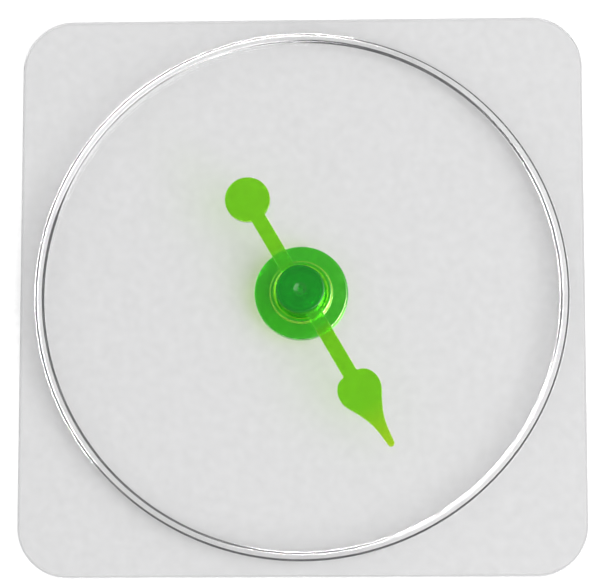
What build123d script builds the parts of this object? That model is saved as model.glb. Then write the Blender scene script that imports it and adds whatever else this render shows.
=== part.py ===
from build123d import *

from math import isclose, radians, tan
import os

# A table-top game spinner: a clear square plate, a hub snapped into the plate's centre hole,
# and a pointer that snaps into the hub and spins on it.
# Origin: the centre of the plate's underside. +Z is up, and the plate's sides run along X and Y.
# All sizes are in millimetres.

# Driving dimensions of the plate
PLATE_SIDE = 88.9  # three and a half inches
PLATE_THICKNESS = 2.0
PLATE_CORNER_RADIUS = 8.0
PLATE_EDGE_ROUND = 0.3
RIB_DIAMETER = 82.7  # at the middle of the rib's width
RIB_WIDTH = 1.15  # at its foot, before the corners there are rounded
RIB_HEIGHT = 0.6
RIB_DRAFT = 8.0  # degrees that each of its walls leans in
RIB_CREST_ROUND = 0.28
RIB_FOOT_ROUND = 0.3
RIB_BEDDING = 1.0  # how far the rib's section reaches beside it and below it, inside the plate
HOLE_DIAMETER = 7.2
COUNTERBORE_DIAMETER = 9.2
COUNTERBORE_DEPTH = 0.85

# Driving dimensions of the hub
FLANGE_DIAMETER = 14.7
FLANGE_THICKNESS = 1.8
FLANGE_ROUND = 0.35
COLLAR_DIAMETER = 9.8
COLLAR_WALL = 0.75
COLLAR_RISE = 0.75
COLLAR_ROUND = 0.3
WELL_FLOOR_THICKNESS = 0.9  # above the plate's top face
POST_DIAMETER = 4.6
BORE_DIAMETER = 2.24
BORE_OVERHANG = 0.1  # how far the bore's wall reaches below the plate's top face
CORNER_ROUND = 0.15  # the hub's small corners
SHANK_WALL = 0.7
SNAP_GAP = 0.05  # around the shank in its hole, and over its feet
SNAP_REACH = 0.5
SNAP_LIP = 0.15  # the straight edge of a snap, above its lead-in slope
SNAP_SLOT_WIDTH = 1.4
SNAP_SLOT_COUNT = 2  # each slot crosses the whole shank, so two slots make four feet
UNDERSIDE_GAP = 0.25  # how far the shank ends above the plate's underside

# Driving dimensions of the pointer
CAP_DIAMETER = 7.6
CAP_RISE = 5.4  # above the plate's top face
CAP_ROUND = 0.25
CAP_STEP = 0.15  # how far the cap stands proud of the arms
DIMPLE_DIAMETER = 2.1
DIMPLE_DEPTH = 0.25
SKIRT_WALL = 0.6
SKIRT_GAP = 0.35  # above the floor of the hub's well
SKIRT_ROUND = 0.2
ARM_WIDTH = 2.36
ARM_THICKNESS = 1.05
ARM_EDGE_ROUND = 0.12
ARM_JOIN_ROUND = 0.3  # in the corners where the arms meet the tail disc and the head
TAIL_DIAMETER = 7.1
TAIL_REACH = 16.5  # from the pivot to the middle of the tail disc
HEAD_START = 15.5  # this and the other head positions are distances from the pivot
HEAD_WIDEST = 18.3
HEAD_WIDTH = 6.95
HEAD_FLANK = [(20.8, 2.6), (23.8, 1.23)]  # distance from the pivot, and half the width there
HEAD_TIP = 28.55
TIP_WIDTH = 1.1
TIP_TAPER = 0.1  # the slope of the flanks where they meet the rounded tip
THRUST_GAP = 0.05  # between the post's end and the cap that rides on it
PIN_CLEARANCE = 0.07  # on the radius, in the hub's bore
PIN_END_GAP = 0.12  # between the barb and the end of the bore
BARB_REACH = 0.3
BARB_LIP = 0.2
BARB_LENGTH = 1.2
BARB_LEAD_IN = 0.25  # how much smaller than the pin the tip is, on the radius
PIN_SLOT_WIDTH = 0.4
PIN_SLOT_LENGTH = 3.3
REST_ANGLE = -59.9  # the way the head points at rest, in degrees from +X

# Heights above the table, worked out from the driving dimensions
PLATE_TOP = PLATE_THICKNESS
FLANGE_TOP = PLATE_TOP + FLANGE_THICKNESS
COLLAR_TOP = FLANGE_TOP + COLLAR_RISE
WELL_FLOOR = PLATE_TOP + WELL_FLOOR_THICKNESS
BORE_END = PLATE_TOP - BORE_OVERHANG
CAP_TOP = PLATE_TOP + CAP_RISE
ARM_TOP = CAP_TOP - CAP_STEP
ARM_BOTTOM = ARM_TOP - ARM_THICKNESS
POST_TOP = ARM_BOTTOM - THRUST_GAP

STANDING = (Align.CENTER, Align.CENTER, Align.MIN)


def turned(corners):
    """A solid of revolution about Z. Each corner is (radius, height, rounding of that corner)."""
    points = [(radius, height) for radius, height, rounding in corners]
    roundings = [rounding for radius, height, rounding in corners]
    outline = FilletPolyline(points, radius=roundings, close=True)
    return revolve(Plane.XZ * make_face(outline), axis=Axis.Z)


def slot_cutter(length, width, bottom, top):
    """A block centred on the Z axis, for cutting a slot of this width between two heights."""
    return Pos(0, 0, bottom) * Box(length, width, top - bottom, align=STANDING)


def base_plate():
    """The clear plate, with the round rib on its top face and a stepped hole for the hub."""
    blank = extrude(RectangleRounded(PLATE_SIDE, PLATE_SIDE, PLATE_CORNER_RADIUS), PLATE_THICKNESS)
    rims = blank.edges().group_by(Axis.Z)
    plate = fillet(rims[0] + rims[-1], PLATE_EDGE_ROUND)

    inside = (RIB_DIAMETER - RIB_WIDTH) / 2
    outside = (RIB_DIAMETER + RIB_WIDTH) / 2
    lean = RIB_HEIGHT * tan(radians(RIB_DRAFT))
    root = PLATE_TOP - RIB_BEDDING
    crest = PLATE_TOP + RIB_HEIGHT
    rib = turned([
        (inside - RIB_BEDDING, root, 0),
        (outside + RIB_BEDDING, root, 0),
        (outside + RIB_BEDDING, PLATE_TOP, 0),
        (outside, PLATE_TOP, RIB_FOOT_ROUND),
        (outside - lean, crest, RIB_CREST_ROUND),
        (inside + lean, crest, RIB_CREST_ROUND),
        (inside, PLATE_TOP, RIB_FOOT_ROUND),
        (inside - RIB_BEDDING, PLATE_TOP, 0),
    ])

    hole = Cylinder(HOLE_DIAMETER / 2, PLATE_THICKNESS, align=STANDING)
    counterbore = Cylinder(COUNTERBORE_DIAMETER / 2, COUNTERBORE_DEPTH, align=STANDING)
    return plate + rib - hole - counterbore


def hub_base():
    """The hub: a flange and collar above the plate, a post with the bearing bore, a split snap shank."""
    flange = FLANGE_DIAMETER / 2
    collar_outside = COLLAR_DIAMETER / 2
    collar_inside = collar_outside - COLLAR_WALL
    post = POST_DIAMETER / 2
    bore = BORE_DIAMETER / 2
    shank_outside = HOLE_DIAMETER / 2 - SNAP_GAP
    shank_inside = shank_outside - SHANK_WALL
    foot = shank_outside + SNAP_REACH
    foot_top = COUNTERBORE_DEPTH - SNAP_GAP
    hub = turned([
        (bore, BORE_END, 0),
        (shank_inside, BORE_END, CORNER_ROUND),
        (shank_inside, UNDERSIDE_GAP, 0),
        (shank_outside - SNAP_LIP, UNDERSIDE_GAP, 0),
        (foot, foot_top - SNAP_LIP, 0),
        (foot, foot_top, 0),
        (shank_outside, foot_top, 0),
        (shank_outside, PLATE_TOP, 0),
        (flange, PLATE_TOP, 0),
        (flange, FLANGE_TOP, FLANGE_ROUND),
        (collar_outside, FLANGE_TOP, CORNER_ROUND),
        (collar_outside, COLLAR_TOP, COLLAR_ROUND),
        (collar_inside, COLLAR_TOP, COLLAR_ROUND),
        (collar_inside, WELL_FLOOR, CORNER_ROUND),
        (post, WELL_FLOOR, CORNER_ROUND),
        (post, POST_TOP, CORNER_ROUND),
        (bore, POST_TOP, CORNER_ROUND),
    ])
    slot = slot_cutter(2 * foot, SNAP_SLOT_WIDTH, 0, BORE_END - CORNER_ROUND)
    for index in range(SNAP_SLOT_COUNT):
        turn = 180 * (index + 0.5) / SNAP_SLOT_COUNT
        hub -= Rot(0, 0, turn) * slot
    return hub


def pointer_head():
    """The flat spade shape of the head, pointing along +X."""
    half_arm = ARM_WIDTH / 2
    half_head = HEAD_WIDTH / 2
    half_tip = TIP_WIDTH / 2
    tip_centre = HEAD_TIP - half_tip
    shoulder = EllipticalCenterArc(
        (HEAD_WIDEST, half_arm),
        HEAD_WIDEST - HEAD_START,
        half_head - half_arm,
        start_angle=90,
    )
    flank = Spline(
        (HEAD_WIDEST, half_head),
        *HEAD_FLANK,
        (tip_centre, half_tip),
        tangents=[(1, 0), (1, -TIP_TAPER)],
    )
    point = ThreePointArc((tip_centre, half_tip), (HEAD_TIP, 0), (tip_centre, -half_tip))
    heel = Line((HEAD_START, half_arm), (HEAD_START, -half_arm))
    one_side = shoulder + flank
    return make_face(one_side + point + mirror(one_side, Plane.XZ) + heel)


def pointer_arms():
    """The arms, tail disc and head, cut from one flat thickness, with the head towards +X."""
    length = TAIL_REACH + HEAD_WIDEST
    shaft = Pos((HEAD_WIDEST - TAIL_REACH) / 2, 0) * Rectangle(length, ARM_WIDTH)
    tail = Pos(-TAIL_REACH, 0) * Circle(TAIL_DIAMETER / 2)
    outline = shaft + tail + pointer_head()
    joins = [corner for corner in outline.vertices() if isclose(abs(corner.Y), ARM_WIDTH / 2)]
    flat = extrude(fillet(joins, ARM_JOIN_ROUND), ARM_THICKNESS)
    rims = flat.edges().group_by(Axis.Z)
    return Pos(0, 0, ARM_BOTTOM) * fillet(rims[0] + rims[-1], ARM_EDGE_ROUND)


def pointer():
    """The pointer: arms, tail and head, a cap with a skirt, and a split pin that snaps through the post."""
    cap = CAP_DIAMETER / 2
    skirt_inside = cap - SKIRT_WALL
    skirt_bottom = WELL_FLOOR + SKIRT_GAP
    pin = BORE_DIAMETER / 2 - PIN_CLEARANCE
    barb = pin + BARB_REACH
    barb_top = BORE_END - PIN_END_GAP
    barb_bottom = barb_top - BARB_LENGTH
    centre = turned([
        (0, barb_bottom, 0),
        (pin - BARB_LEAD_IN, barb_bottom, 0),
        (barb, barb_top - BARB_LIP, 0),
        (barb, barb_top, 0),
        (pin, barb_top, 0),
        (pin, ARM_BOTTOM, 0),
        (skirt_inside, ARM_BOTTOM, SKIRT_ROUND),
        (skirt_inside, skirt_bottom, 0),
        (cap, skirt_bottom, SKIRT_ROUND),
        (cap, CAP_TOP, CAP_ROUND),
        (0, CAP_TOP, 0),
    ])
    dimple_radius = (DIMPLE_DIAMETER ** 2 / 4 + DIMPLE_DEPTH ** 2) / (2 * DIMPLE_DEPTH)
    dimple = Pos(0, 0, CAP_TOP - DIMPLE_DEPTH + dimple_radius) * Sphere(dimple_radius)
    slot = slot_cutter(2 * barb, PIN_SLOT_WIDTH, barb_bottom, barb_bottom + PIN_SLOT_LENGTH)
    return Rot(0, 0, REST_ANGLE) * (centre + pointer_arms() - dimple - slot)


os.makedirs("parts", exist_ok=True)
pieces = {
    "base_plate": base_plate(),
    "hub_base": hub_base(),
    "pointer": pointer(),
}
for name, piece in pieces.items():
    export_step(piece, f"parts/{name}.step")
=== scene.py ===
from math import acos, atan2, cos, pi, radians, sin, tan

import bpy
from mathutils import Matrix, Vector


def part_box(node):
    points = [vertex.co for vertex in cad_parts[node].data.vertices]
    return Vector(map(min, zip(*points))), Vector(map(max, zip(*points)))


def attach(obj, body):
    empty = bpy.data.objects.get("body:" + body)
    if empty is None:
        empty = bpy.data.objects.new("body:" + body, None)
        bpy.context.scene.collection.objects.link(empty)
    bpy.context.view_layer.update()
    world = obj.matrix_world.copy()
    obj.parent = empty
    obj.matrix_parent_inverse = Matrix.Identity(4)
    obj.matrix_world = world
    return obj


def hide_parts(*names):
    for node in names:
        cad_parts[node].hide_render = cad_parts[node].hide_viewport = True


# A table-top game spinner: a clear square plate, a translucent green hub snapped into its centre,
# and a translucent green pointer that spins on the hub. Everything here is in metres, in the CAD frame.
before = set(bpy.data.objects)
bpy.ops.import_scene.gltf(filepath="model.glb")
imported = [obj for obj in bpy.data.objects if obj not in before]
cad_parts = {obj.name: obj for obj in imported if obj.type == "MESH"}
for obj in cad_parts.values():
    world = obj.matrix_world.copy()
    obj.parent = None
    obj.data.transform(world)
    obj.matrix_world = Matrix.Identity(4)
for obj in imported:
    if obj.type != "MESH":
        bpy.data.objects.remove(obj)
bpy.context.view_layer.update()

MM = 0.001
PLATE_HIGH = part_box("base_plate")[1]
HUB_LOW, HUB_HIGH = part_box("hub_base")

# The clear plate
PLATE_HALF = PLATE_HIGH.x
PLATE_THICKNESS = 2.0 * MM
PLATE_EDGE_ROUND = 0.3 * MM
PLATE_CORNER = 8.0 * MM
RIM_HAZE_TILT = radians(4)  # the rim is hazy where it is steeper than this
RIB_RADIUS = 41.35 * MM
RIB_HEIGHT = PLATE_HIGH.z - PLATE_THICKNESS
RIB_WIDTH = 1.15 * MM  # at its foot
RIB_DRAFT = radians(8)
RIB_CREST_ROUND = 0.28 * MM
RIB_FOOT_ROUND = 0.3 * MM
# The rib's walls are rough and painted near-black where they are steeper than these slopes, inside it and
# outside it: painted dark lines in place of the dark that refraction shows at the rib's edges.
DARK_WALL_TILT_INSIDE = radians(20)
DARK_WALL_TILT_OUTSIDE = radians(26)
LEVEL_MARGIN = 0.01 * MM  # a face no further above the plate's top than this is a part of it
# Around these directions, counted from +X, the inside wall is clear and not painted dark: the painted
# darkness is left off where the lights make the wall bright.
LIT_STRETCH_DIRECTIONS = (radians(125), radians(317))
LIT_STRETCH_REACH = radians(22)
LIT_STRETCH_FADE = radians(16)
CLEAR, HAZY, FROSTED_PAINTED_DARK, CREST = range(4)  # the plate's finishes, by material slot
HOLE_RADIUS = 3.6 * MM
COUNTERBORE_RADIUS = 4.6 * MM
COUNTERBORE_DEPTH = 0.85 * MM

# The hub
SEAT_GAP = 0.012 * MM  # keeps the flange's underside from lying in the same plane as the plate
FLANGE_RADIUS = HUB_HIGH.x
FLANGE_TOP = PLATE_THICKNESS + 1.8 * MM
FLANGE_ROUND = 0.35 * MM
COLLAR_RADIUS = 4.9 * MM
COLLAR_WALL = 0.75 * MM
COLLAR_TOP = FLANGE_TOP + 0.75 * MM
COLLAR_ROUND = 0.3 * MM
WELL_FLOOR = PLATE_THICKNESS + 0.9 * MM
POST_RADIUS = 2.3 * MM
BORE_RADIUS = 1.12 * MM
BORE_END = PLATE_THICKNESS - 0.1 * MM
HUB_CORNER_ROUND = 0.15 * MM
SHANK_RADIUS = HOLE_RADIUS - 0.05 * MM
SHANK_WALL = 0.7 * MM
FOOT_RADIUS = SHANK_RADIUS + 0.5 * MM
FOOT_TOP = COUNTERBORE_DEPTH - 0.05 * MM
FOOT_LIP = 0.15 * MM
SLOT_WIDTH = 1.4 * MM
SLOT_LENGTH = 3 * FOOT_RADIUS  # longer than the feet are across
SLOT_BOTTOM = -MM  # lower than the feet
SLOT_TOP = BORE_END - HUB_CORNER_ROUND
SLOT_TURNS = (radians(45), radians(135))

# The pointer
CAP_RADIUS = 3.8 * MM
# The pointer's colour over the hub's flange is painted: it stands in for the light that passes between
# the flange and the pointer.
FLANGE_FADE = 1.2 * MM  # its colour changes this gradually at the edge of the hub's flange

# How fine the meshes are
PLATE_TURNS = 960
HUB_TURNS = 360
ROUND_STEPS = 8
SHARP_ANGLE = radians(40)

# The camera looks almost straight down on the plate, a little from its near side.
CAMERA_PLACE = Vector((23.3, -91.2, 536.3)) * MM
CAMERA_TARGET = Vector((-0.24, 0.08, 2.42)) * MM
CAMERA_SENSOR = 36.0  # millimetres wide
CAMERA_LENS = 207.0  # millimetres
CAMERA_RANGE = (0.01, 10.0)

FLOOR_DEPTH = 0.06 * MM
FLOOR_HALF = 0.8

# The plastics
CLEAR_INDEX = 1.59
RIM_INDEX = 1.08  # low, so that the rim hardly reflects
GREEN_INDEX = 1.5
CLEAR_LAMP_TINT = (0.91, 0.91, 0.91)
GREEN_ROUGHNESS = (0.17, 0.23)
DYE_COLOR = (0.85, 0.965, 0.6, 1.0)
DYE_DENSITY = 870.0  # per metre
# A painted glow: the green pieces' rounded edges are painted in this paler, less clear colour, for the
# light that such edges gather.
EDGE_GLOW_COLOR = (0.68, 0.8, 0.12)
EDGE_GLOW_CLEARNESS = 0.7
# A rounded edge is where the Z part of its normal is between these, fading in and out.
UPRIGHT_TO_ROUND = (0.1, 0.25)
ROUND_TO_FLAT = (0.8, 0.88)
TIP_COLOR = (0.42, 0.66, 0.012)  # the pointer's narrow tip is yellower
TIP_START = 21.0 * MM
TIP_FADE = 7.0 * MM
CRISP = 0.02 * MM  # a fade too short to see
NOISE_DETAIL = 3.0
NOISE_RANGE = (0.3, 0.7)  # nearly all of the noise lies between these

# A large soft light stands to the right, and a small low one to the near right.
KEY_DIRECTION = Vector((0.63, -0.12, 0.77))
KEY_DISTANCE = 1.6
KEY_SIZE = (1.6, 1.6)
KEY_POWER = 28.0
LOW_DIRECTION = Vector((0.70, -0.54, 0.47))
LOW_DISTANCE = 1.5
LOW_SIZE = (0.6, 0.6)
LOW_POWER = 5.6
# Bright panels that only glint: a white one on the clear plate's rib, a yellowish one on the hub.
PANEL_DISTANCE = 1.5
FAR_PANEL_DIRECTION = Vector((-0.37, 0.26, 0.89))
FAR_PANEL_SIZE = (2.4, 0.25)
FAR_PANEL_POWER = 250.0
FAR_PANEL_COLOR = (1.0, 1.0, 1.0)
SIDE_PANEL_DIRECTION = Vector((0.62, -0.22, 0.75))
SIDE_PANEL_SIZE = (0.9, 0.9)
SIDE_PANEL_POWER = 110.0
SIDE_PANEL_COLOR = (1.0, 1.0, 0.55)
# The studio's brightness at heights from the horizon, 0, to straight overhead, 1
SKY = ((0.0, 0.04), (0.3, 0.39), (0.75, 0.8), (0.93, 0.65), (0.98, 0.28))


def add_camera():
    """A long lens, with the plate's far edge at the top of the picture."""
    camera = bpy.data.objects.new("camera", bpy.data.cameras.new("camera"))
    bpy.context.scene.collection.objects.link(camera)
    view = (CAMERA_TARGET - CAMERA_PLACE).normalized()
    right = view.cross(Vector((0, 1, 0))).normalized()
    up = right.cross(view)
    turn = Matrix((right, up, -view)).transposed()
    camera.matrix_world = Matrix.Translation(CAMERA_PLACE) @ turn.to_4x4()
    camera.data.sensor_width = CAMERA_SENSOR
    camera.data.lens = CAMERA_LENS
    camera.data.clip_start, camera.data.clip_end = CAMERA_RANGE
    bpy.context.scene.camera = camera


def add_area_light(name, direction, distance, size, power):
    """A soft light that faces the middle of the object. Its size is (width, height)."""
    lamp = bpy.data.lights.new(name, "AREA")
    lamp.shape = "RECTANGLE"
    lamp.size, lamp.size_y = size
    lamp.energy = power
    light = bpy.data.objects.new(name, lamp)
    bpy.context.scene.collection.objects.link(light)
    light.location = direction.normalized() * distance
    light.rotation_euler = direction.to_track_quat("Z", "Y").to_euler()
    return light


def add_panel(name, direction, size, power, color, piece):
    """A light that reaches one piece alone, as glints: it adds no diffuse light."""
    light = add_area_light(name, direction, PANEL_DISTANCE, size, power)
    light.data.color = color
    group = bpy.data.collections.new("lit_by_" + name)
    group.objects.link(piece)
    light.light_linking.receiver_collection = group
    light.visible_diffuse = False


def leave_out(light, piece):
    """Keeps a light's glare off one piece. Its shadow stays."""
    group = bpy.data.collections.new("left_out_by_" + light.name)
    group.objects.link(piece)
    group.collection_objects[0].light_linking.link_state = "EXCLUDE"
    light.light_linking.receiver_collection = group


def add_sky():
    """A white studio, dark towards the horizon and where the camera hangs overhead."""
    world = bpy.data.worlds.new("studio")
    bpy.context.scene.world = world
    world.use_nodes = True
    tree = world.node_tree
    where = tree.nodes.new("ShaderNodeTexCoord")
    split = tree.nodes.new("ShaderNodeSeparateXYZ")
    ramp = tree.nodes.new("ShaderNodeValToRGB")
    ramp.color_ramp.elements.remove(ramp.color_ramp.elements[1])
    for index, (height, brightness) in enumerate(SKY):
        stop = ramp.color_ramp.elements[0] if index == 0 else ramp.color_ramp.elements.new(height)
        stop.position = height
        stop.color = (brightness, brightness, brightness, 1.0)
    tree.links.new(where.outputs["Generated"], split.inputs["Vector"])
    tree.links.new(split.outputs["Z"], ramp.inputs["Fac"])
    tree.links.new(ramp.outputs["Color"], tree.nodes["Background"].inputs["Color"])


def add_floor():
    """A sheet of white paper, much larger than the plate."""
    corners = [(x, y, -FLOOR_DEPTH) for x, y in
               ((-FLOOR_HALF, -FLOOR_HALF), (FLOOR_HALF, -FLOOR_HALF),
                (FLOOR_HALF, FLOOR_HALF), (-FLOOR_HALF, FLOOR_HALF))]
    mesh = bpy.data.meshes.new("floor")
    mesh.from_pydata(corners, [], [(0, 1, 2, 3)])
    floor = bpy.data.objects.new("floor", mesh)
    bpy.context.scene.collection.objects.link(floor)
    material = bpy.data.materials.new("paper")
    material.use_nodes = True
    set_gloss(material, 0.0)
    mottle(material, scale=700.0, color=(0.9, 0.9, 0.9), spread=0.03, roughness=(0.85, 0.95),
           relief=0.02 * MM)
    mesh.materials.append(material)


def mixed_colors(tree, factor, first, second):
    """A colour between two others. The first is a colour or a socket, and so is the second."""
    mix = tree.nodes.new("ShaderNodeMix")
    mix.data_type = "RGBA"
    tree.links.new(factor, mix.inputs["Factor"])
    for socket, color in ((mix.inputs[6], first), (mix.inputs[7], second)):
        if isinstance(color, tuple):
            socket.default_value = (*color, 1.0)
        else:
            tree.links.new(color, socket)
    return mix.outputs[2]


def mapped(tree, value, source, target):
    """The value's source range carried over to the target range, and held at its ends."""
    ramp = tree.nodes.new("ShaderNodeMapRange")
    tree.links.new(value, ramp.inputs["Value"])
    for name, number in zip(("From Min", "From Max", "To Min", "To Max"), (*source, *target)):
        ramp.inputs[name].default_value = number
    return ramp.outputs["Result"]


def mottle(material, scale, color, spread, roughness, relief):
    """Fine unevenness: cloudy colour, patchy gloss and a slight relief. The scale is per metre."""
    tree = material.node_tree
    shader = tree.nodes["Principled BSDF"]
    where = tree.nodes.new("ShaderNodeTexCoord")
    cloud = tree.nodes.new("ShaderNodeTexNoise")
    cloud.inputs["Scale"].default_value = scale
    cloud.inputs["Detail"].default_value = NOISE_DETAIL
    bump = tree.nodes.new("ShaderNodeBump")
    bump.inputs["Distance"].default_value = relief
    tree.links.new(where.outputs["Object"], cloud.inputs["Vector"])
    tree.links.new(cloud.outputs["Fac"], bump.inputs["Height"])
    tree.links.new(bump.outputs["Normal"], shader.inputs["Normal"])
    tree.links.new(mapped(tree, cloud.outputs["Fac"], NOISE_RANGE, roughness), shader.inputs["Roughness"])
    dark = tuple(part * (1 - spread) for part in color)
    light = tuple(min(1.0, part * (1 + spread)) for part in color)
    patchy = mixed_colors(tree, mapped(tree, cloud.outputs["Fac"], NOISE_RANGE, (0.0, 1.0)), dark, light)
    tree.links.new(patchy, shader.inputs["Base Color"])
    return patchy


def set_gloss(material, level):
    """How strongly the surface reflects: 0.5 is as it would by its refractive index."""
    material.node_tree.nodes["Principled BSDF"].inputs["Specular IOR Level"].default_value = level


def multiplied(tree, first, second):
    product = tree.nodes.new("ShaderNodeMath")
    product.operation = "MULTIPLY"
    tree.links.new(first, product.inputs[0])
    tree.links.new(second, product.inputs[1])
    return product.outputs["Value"]


def within(tree, radius, fade):
    """One within this distance of the Z axis, fading to nothing beyond it."""
    where = tree.nodes.new("ShaderNodeTexCoord")
    level = tree.nodes.new("ShaderNodeVectorMath")
    level.operation = "MULTIPLY"
    level.inputs[1].default_value = (1.0, 1.0, 0.0)
    distance = tree.nodes.new("ShaderNodeVectorMath")
    distance.operation = "LENGTH"
    tree.links.new(where.outputs["Object"], level.inputs[0])
    tree.links.new(level.outputs["Vector"], distance.inputs[0])
    return mapped(tree, distance.outputs["Value"], (radius, radius + fade), (1.0, 0.0))


def rounded_edges(tree):
    """One on a piece's rounded edges, and nothing on its flat faces and upright walls."""
    surface = tree.nodes.new("ShaderNodeNewGeometry")
    split = tree.nodes.new("ShaderNodeSeparateXYZ")
    tilt = tree.nodes.new("ShaderNodeMath")
    tilt.operation = "ABSOLUTE"
    tree.links.new(surface.outputs["Normal"], split.inputs["Vector"])
    tree.links.new(split.outputs["Z"], tilt.inputs[0])
    above = mapped(tree, tilt.outputs["Value"], UPRIGHT_TO_ROUND, (0.0, 1.0))
    below = mapped(tree, tilt.outputs["Value"], ROUND_TO_FLAT, (1.0, 0.0))
    return multiplied(tree, above, below)


def lamp_glass(name, ior, lamp_tint):
    """Glass to the eye, and a plain tint to lamps and to the light that the paper gathers."""
    material = bpy.data.materials.new(name)
    material.use_nodes = True
    tree = material.node_tree
    shader = tree.nodes["Principled BSDF"]
    shader.inputs["IOR"].default_value = ior
    shader.inputs["Transmission Weight"].default_value = 1.0
    path = tree.nodes.new("ShaderNodeLightPath")
    tint = tree.nodes.new("ShaderNodeBsdfTransparent")
    tint.inputs["Color"].default_value = (*lamp_tint, 1.0)
    lamps = tree.nodes.new("ShaderNodeMixShader")
    gathered = tree.nodes.new("ShaderNodeMixShader")
    link = tree.links.new
    link(path.outputs["Is Shadow Ray"], lamps.inputs[0])
    link(shader.outputs["BSDF"], lamps.inputs[1])
    link(tint.outputs["BSDF"], lamps.inputs[2])
    link(path.outputs["Is Diffuse Ray"], gathered.inputs[0])
    link(lamps.outputs["Shader"], gathered.inputs[1])
    link(tint.outputs["BSDF"], gathered.inputs[2])
    link(gathered.outputs["Shader"], tree.nodes["Material Output"].inputs["Surface"])
    return material


def green_plastic(name, color, clearness, lamp_tint, glow_reach):
    """Dyed plastic: deeper green with its thickness. Its rounded edges are painted paler and less clear,
    a painted glow for the light that such edges gather, as far from the Z axis as the glow reach."""
    material = lamp_glass(name, GREEN_INDEX, lamp_tint)
    tree = material.node_tree
    shader = tree.nodes["Principled BSDF"]
    cloudy = mottle(material, scale=900.0, color=color, spread=0.05, roughness=GREEN_ROUGHNESS,
                    relief=0.004 * MM)
    body = mixed_colors(tree, within(tree, TIP_START, TIP_FADE), TIP_COLOR, cloudy)
    # Painted glow on the rounded edges, paler and less clear.
    edges = multiplied(tree, rounded_edges(tree), within(tree, glow_reach, CRISP))
    tree.links.new(mixed_colors(tree, edges, body, EDGE_GLOW_COLOR), shader.inputs["Base Color"])
    tree.links.new(mapped(tree, edges, (0.0, 1.0), (clearness, EDGE_GLOW_CLEARNESS)),
                   shader.inputs["Transmission Weight"])
    absorb = tree.nodes.new("ShaderNodeVolumeAbsorption")
    absorb.inputs["Color"].default_value = DYE_COLOR
    absorb.inputs["Density"].default_value = DYE_DENSITY
    tree.links.new(absorb.outputs["Volume"], tree.nodes["Material Output"].inputs["Volume"])
    return material


def change_middle(material, radius, fade, color, clearness):
    """Another colour and clearness within this distance of the Z axis, fading out beyond it."""
    tree = material.node_tree
    shader = tree.nodes["Principled BSDF"]
    middle = within(tree, radius, fade)
    outer_color = shader.inputs["Base Color"].links[0].from_socket
    outer_clearness = shader.inputs["Transmission Weight"].links[0].from_socket
    clear = tree.nodes.new("ShaderNodeMix")
    clear.inputs["B"].default_value = clearness
    tree.links.new(middle, clear.inputs["Factor"])
    tree.links.new(outer_clearness, clear.inputs["A"])
    tree.links.new(clear.outputs["Result"], shader.inputs["Transmission Weight"])
    tree.links.new(mixed_colors(tree, middle, outer_color, color), shader.inputs["Base Color"])


def clear_plastic():
    """The plate's flat faces and its hole: clear, with hardly any haze."""
    material = lamp_glass("clear_polystyrene_glass", CLEAR_INDEX, CLEAR_LAMP_TINT)
    # The grey tint is partly the plate's own light loss and partly painted shade: it darkens the paper
    # seen through the plate in place of the plate's shadow on it, which the lamps' tint leaves light.
    mottle(material, scale=300.0, color=(0.79, 0.79, 0.795), spread=0.01, roughness=(0.015, 0.03),
           relief=0.001 * MM)
    return material


def hazy_plastic():
    """The plate's rim, grey and without glare."""
    material = lamp_glass("hazy_plate_rim", RIM_INDEX, CLEAR_LAMP_TINT)
    mottle(material, scale=1500.0, color=(0.6, 0.6, 0.605), spread=0.05, roughness=(0.3, 0.4),
           relief=0.005 * MM)
    return material


def frosted_painted_dark_plastic():
    """The rib's walls: rough, and painted near-black as the dark lines that refraction shows at the rib's
    edges. They let through hardly any light.
    """
    material = lamp_glass("frosted_rib_walls_painted_dark", CLEAR_INDEX, (0.1, 0.1, 0.1))
    set_gloss(material, 0.2)
    # Painted dark: the near-black colour stands in for the dark that refraction shows at the rib's edges.
    mottle(material, scale=1500.0, color=(0.006, 0.006, 0.0065), spread=0.3, roughness=(0.3, 0.45),
           relief=0.01 * MM)
    return material


def crest_plastic():
    """The rib's crest: clear, a little rough from wear, and tinted lighter than the flat faces as a
    painted highlight.
    """
    material = lamp_glass("rib_crest", CLEAR_INDEX, (0.6, 0.6, 0.6))
    # The lighter tint is a painted highlight along the crest.
    mottle(material, scale=1500.0, color=(0.96, 0.96, 0.96), spread=0.02, roughness=(0.08, 0.18),
           relief=0.012 * MM)
    return material


def hub_plastic():
    """The hub's green, with a painted pale glow on its rounded edges as far out as its collar."""
    return green_plastic("green_hub_plastic", color=(0.062, 0.585, 0.025), clearness=1.0,
                         lamp_tint=(0.985, 0.99, 0.98), glow_reach=COLLAR_RADIUS + 0.1 * MM)


def pointer_plastic():
    """The pointer's yellower green. It is deepest in its cap. From there to the edge of the hub's flange
    it is clearer, so that the flange's green shows through it, and painted another green for the light
    passing between them."""
    material = green_plastic("green_pointer_plastic", color=(0.21, 0.61, 0.007), clearness=0.8,
                             lamp_tint=(0.925, 0.975, 0.94), glow_reach=PLATE_HALF)
    set_gloss(material, 0.22)
    # Painted light: over the hub's flange a clearer, other green stands in for the light passing between
    # flange and pointer.
    change_middle(material, FLANGE_RADIUS - FLANGE_FADE, FLANGE_FADE, (0.24, 0.8, 0.05), 0.92)
    change_middle(material, CAP_RADIUS, CRISP, (0.006, 0.33, 0.022), 0.68)
    return material


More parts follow.
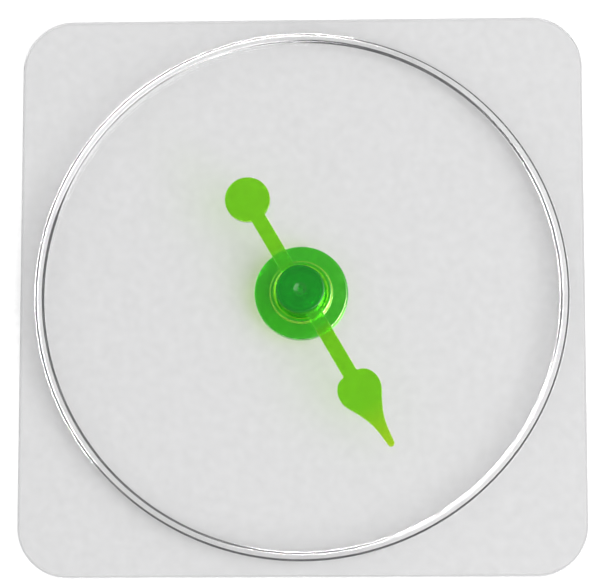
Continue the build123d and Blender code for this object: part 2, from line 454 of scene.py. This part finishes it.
def rounded_outline(corners):
    """Points along a closed outline. Each corner is (distance from the axis, height, rounding)."""
    points = []
    for index, (x, z, rounding) in enumerate(corners):
        here = Vector((x, z))
        if rounding == 0:
            points.append(here)
            continue
        before = (Vector(corners[index - 1][:2]) - here).normalized()
        after = (Vector(corners[(index + 1) % len(corners)][:2]) - here).normalized()
        half_angle = before.angle(after) / 2
        centre = here + (before + after).normalized() * rounding / sin(half_angle)
        start = here + before * rounding / tan(half_angle) - centre
        end = here + after * rounding / tan(half_angle) - centre
        turn = -start.angle_signed(end)
        for step in range(ROUND_STEPS + 1):
            angle = turn * step / ROUND_STEPS
            points.append(centre + Vector((start.x * cos(angle) - start.y * sin(angle),
                                           start.x * sin(angle) + start.y * cos(angle))))
    return points


def on_circle(distance, angle):
    return distance * cos(angle), distance * sin(angle)


def on_plate(distance, angle):
    """Round as far as the plate's edge, where it is a square with round corners."""
    if distance < PLATE_HALF - 2 * PLATE_EDGE_ROUND:
        return on_circle(distance, angle)
    straight = PLATE_HALF - PLATE_CORNER
    corner = distance - straight
    x, y = cos(angle), sin(angle)
    side = max(abs(x), abs(y))
    if min(abs(x), abs(y)) / side <= straight / distance:
        return x / side * distance, y / side * distance
    along = straight * (abs(x) + abs(y))
    reach = along + (along ** 2 - 2 * straight ** 2 + corner ** 2) ** 0.5
    return x * reach, y * reach


def add_piece(name, mesh):
    """Links a mesh, with its flat faces kept flat and its rounded edges smooth."""
    mesh.shade_smooth()
    mesh.set_sharp_from_angle(angle=SHARP_ANGLE)
    piece = bpy.data.objects.new(name, mesh)
    bpy.context.scene.collection.objects.link(piece)
    weighted = piece.modifiers.new("even_shading", "WEIGHTED_NORMAL")
    weighted.keep_sharp = True
    return piece


def swept(name, corners, place, turns):
    """A closed mesh: the rounded outline carried once round the Z axis by the place function."""
    outline = rounded_outline(corners)
    angles = [2 * pi * turn / turns for turn in range(turns)]
    points = [(*place(x, angle), z) for angle in angles for x, z in outline]
    count = len(outline)
    faces = []
    for turn in range(turns):
        here = turn * count
        following = (turn + 1) % turns * count
        for step in range(count):
            after = (step + 1) % count
            faces.append((here + step, here + after, following + after, following + step))
    mesh = bpy.data.meshes.new(name)
    mesh.from_pydata(points, [], faces)
    return mesh


def block(length, width, bottom, top, turn):
    """A block centred on the Z axis, for cutting a slot."""
    corners = [(x, y, z) for x in (-length / 2, length / 2)
               for y in (-width / 2, width / 2) for z in (bottom, top)]
    faces = [(0, 1, 3, 2), (4, 6, 7, 5), (0, 4, 5, 1), (2, 3, 7, 6), (0, 2, 6, 4), (1, 5, 7, 3)]
    mesh = bpy.data.meshes.new("slot_cutter")
    mesh.from_pydata(corners, [], faces)
    mesh.transform(Matrix.Rotation(turn, 4, "Z"))
    cutter = bpy.data.objects.new("slot_cutter", mesh)
    bpy.context.scene.collection.objects.link(cutter)
    return cutter


def cut(mesh, cutters):
    """The mesh with every cutter taken out of it."""
    solid = bpy.data.objects.new("uncut", mesh)
    bpy.context.scene.collection.objects.link(solid)
    for cutter in cutters:
        boolean = solid.modifiers.new("cut", "BOOLEAN")
        boolean.object = cutter
        boolean.solver = "EXACT"
    seen = solid.evaluated_get(bpy.context.evaluated_depsgraph_get())
    result = bpy.data.meshes.new_from_object(seen)
    for spent in (solid, *cutters):
        bpy.data.objects.remove(spent)
    return result


def inside_dark_wall_tilt(direction):
    """The slope that the rib's inside wall is painted dark beyond. On the stretches where the lights make
    the wall bright, that is upright, so the wall stays clear there.
    """
    away = min(abs((direction - middle + pi) % (2 * pi) - pi) for middle in LIT_STRETCH_DIRECTIONS)
    lit_share = max(0.0, min(1.0, (LIT_STRETCH_REACH + LIT_STRETCH_FADE - away) / LIT_STRETCH_FADE))
    return DARK_WALL_TILT_INSIDE + lit_share * (pi / 2 - DARK_WALL_TILT_INSIDE)


def plate_finish(face):
    """Which of the plate's finishes this face has."""
    distance = face.center.xy.length
    tilt = acos(min(1.0, abs(face.normal.z)))
    if distance > RIB_RADIUS + RIB_WIDTH:
        return HAZY if tilt > RIM_HAZE_TILT else CLEAR
    if face.center.z < PLATE_THICKNESS + LEVEL_MARGIN or distance < RIB_RADIUS - RIB_WIDTH:
        return CLEAR
    dark_beyond = DARK_WALL_TILT_OUTSIDE
    if distance < RIB_RADIUS:
        dark_beyond = inside_dark_wall_tilt(atan2(face.center.y, face.center.x))
    # Steep rib walls get the rough finish that is painted dark.
    if tilt > dark_beyond:
        return FROSTED_PAINTED_DARK
    return CREST if face.center.z > PLATE_THICKNESS + RIB_HEIGHT / 2 else CLEAR


def make_plate(finishes):
    """The clear plate, finer than its CAD solid, with the round rib and the stepped hole. Its
    finishes are in the order of the material slots."""
    top = PLATE_THICKNESS
    foot = RIB_WIDTH / 2
    crest = foot - RIB_HEIGHT * tan(RIB_DRAFT)
    mesh = swept("clear_plate", [
        (COUNTERBORE_RADIUS, 0, 0),
        (COUNTERBORE_RADIUS, COUNTERBORE_DEPTH, 0),
        (HOLE_RADIUS, COUNTERBORE_DEPTH, 0),
        (HOLE_RADIUS, top, 0),
        (RIB_RADIUS - foot, top, RIB_FOOT_ROUND),
        (RIB_RADIUS - crest, top + RIB_HEIGHT, RIB_CREST_ROUND),
        (RIB_RADIUS + crest, top + RIB_HEIGHT, RIB_CREST_ROUND),
        (RIB_RADIUS + foot, top, RIB_FOOT_ROUND),
        (PLATE_HALF, top, PLATE_EDGE_ROUND),
        (PLATE_HALF, 0, PLATE_EDGE_ROUND),
    ], on_plate, PLATE_TURNS)
    plate = add_piece("clear_plate", mesh)
    for material in finishes:
        mesh.materials.append(material)
    for face in mesh.polygons:
        face.material_index = plate_finish(face)
    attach(plate, "base")
    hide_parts("base_plate")
    return plate


def make_hub(material):
    """The hub, finer than its CAD solid: flange, collar, bearing post and split snap shank."""
    shank_inside = SHANK_RADIUS - SHANK_WALL
    small = HUB_CORNER_ROUND
    seat = PLATE_THICKNESS + SEAT_GAP
    turned = swept("green_hub", [
        (BORE_RADIUS, BORE_END, 0),
        (shank_inside, BORE_END, small),
        (shank_inside, HUB_LOW.z, 0),
        (SHANK_RADIUS - FOOT_LIP, HUB_LOW.z, 0),
        (FOOT_RADIUS, FOOT_TOP - FOOT_LIP, 0),
        (FOOT_RADIUS, FOOT_TOP, 0),
        (SHANK_RADIUS, FOOT_TOP, 0),
        (SHANK_RADIUS, seat, 0),
        (FLANGE_RADIUS, seat, 0),
        (FLANGE_RADIUS, FLANGE_TOP, FLANGE_ROUND),
        (COLLAR_RADIUS, FLANGE_TOP, small),
        (COLLAR_RADIUS, COLLAR_TOP, COLLAR_ROUND),
        (COLLAR_RADIUS - COLLAR_WALL, COLLAR_TOP, COLLAR_ROUND),
        (COLLAR_RADIUS - COLLAR_WALL, WELL_FLOOR, small),
        (POST_RADIUS, WELL_FLOOR, small),
        (POST_RADIUS, HUB_HIGH.z, small),
        (BORE_RADIUS, HUB_HIGH.z, small),
    ], on_circle, HUB_TURNS)
    slots = [block(SLOT_LENGTH, SLOT_WIDTH, SLOT_BOTTOM, SLOT_TOP, turn) for turn in SLOT_TURNS]
    mesh = cut(turned, slots)
    mesh.materials.clear()
    mesh.materials.append(material)
    hub = add_piece("green_hub", mesh)
    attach(hub, "base")
    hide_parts("hub_base")
    return hub


add_camera()
add_area_light("key", KEY_DIRECTION, KEY_DISTANCE, KEY_SIZE, KEY_POWER)
low_light = add_area_light("low", LOW_DIRECTION, LOW_DISTANCE, LOW_SIZE, LOW_POWER)
add_sky()
add_floor()
bpy.context.scene.view_settings.view_transform = "Standard"

plate = make_plate((clear_plastic(), hazy_plastic(), frosted_painted_dark_plastic(), crest_plastic()))
hub = make_hub(hub_plastic())
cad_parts["pointer"].material_slots[0].material = pointer_plastic()
add_panel("far_panel", FAR_PANEL_DIRECTION, FAR_PANEL_SIZE, FAR_PANEL_POWER, FAR_PANEL_COLOR, plate)
leave_out(low_light, plate)
add_panel("side_panel", SIDE_PANEL_DIRECTION, SIDE_PANEL_SIZE, SIDE_PANEL_POWER, SIDE_PANEL_COLOR, hub)
